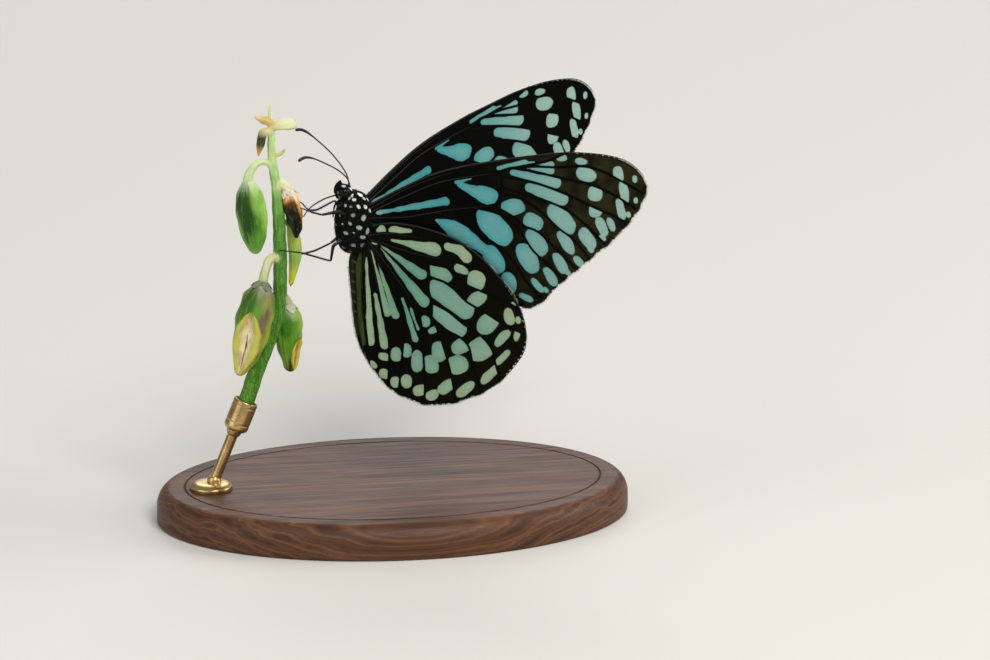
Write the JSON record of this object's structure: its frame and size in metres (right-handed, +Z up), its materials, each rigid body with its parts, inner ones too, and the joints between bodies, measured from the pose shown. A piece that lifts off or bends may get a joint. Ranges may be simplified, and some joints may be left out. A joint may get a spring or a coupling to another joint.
{
  "type": "blue tiger butterfly",
  "caption": "Life-size blue tiger butterfly with half-open wings, clinging head up to a cut plant stem with seed pods, held over an oval wooden base by a short metal rod.",
  "frame": {"origin": "centre of the stand's flat underside", "axes": "+Z up, the way the butterfly's head points; +X the way its back faces, with the wings spread back along it; +Y its right side"},
  "size_m": [0.08, 0.054, 0.0729],
  "materials": {
    "body_fur": "matt black hairs and scales with small white and grey-green spots",
    "eye": "glossy, nearly black",
    "feeler": "satin black",
    "leg": "satin black with short scales",
    "wing_scales": "matt black-brown with pale blue-green streaks and spots",
    "stem_green": "soft satin green",
    "pod_green": "satin yellow-green",
    "pod_dry": "dry, buff above and nearly black below",
    "stand_wood": "oiled dark wood",
    "stand_brass": "brushed brass"
  },
  "bodies": {
    "root": {"head": "body_fur", "thorax": "body_fur", "abdomen": "body_fur", "palp_left": "body_fur", "palp_right": "body_fur", "eye_left": "eye", "eye_right": "eye", "antenna_left": "feeler", "antenna_right": "feeler", "proboscis": "feeler", "foreleg_left": "leg", "foreleg_right": "leg", "midleg_left": "leg", "midleg_right": "leg", "hindleg_left": "leg", "hindleg_right": "leg", "forewing_left": "wing_scales", "forewing_right": "wing_scales", "hindwing_left": "wing_scales", "hindwing_right": "wing_scales", "perch_stem": "stem_green", "perch_pod_green": "pod_green", "perch_pod_lower": "pod_green", "perch_pod_yellow": "pod_green", "perch_pod_split": "pod_green", "perch_pod_brown": "pod_dry", "stand_base": "stand_wood", "stand_rod": "stand_brass"}
  },
  "joints": []
}
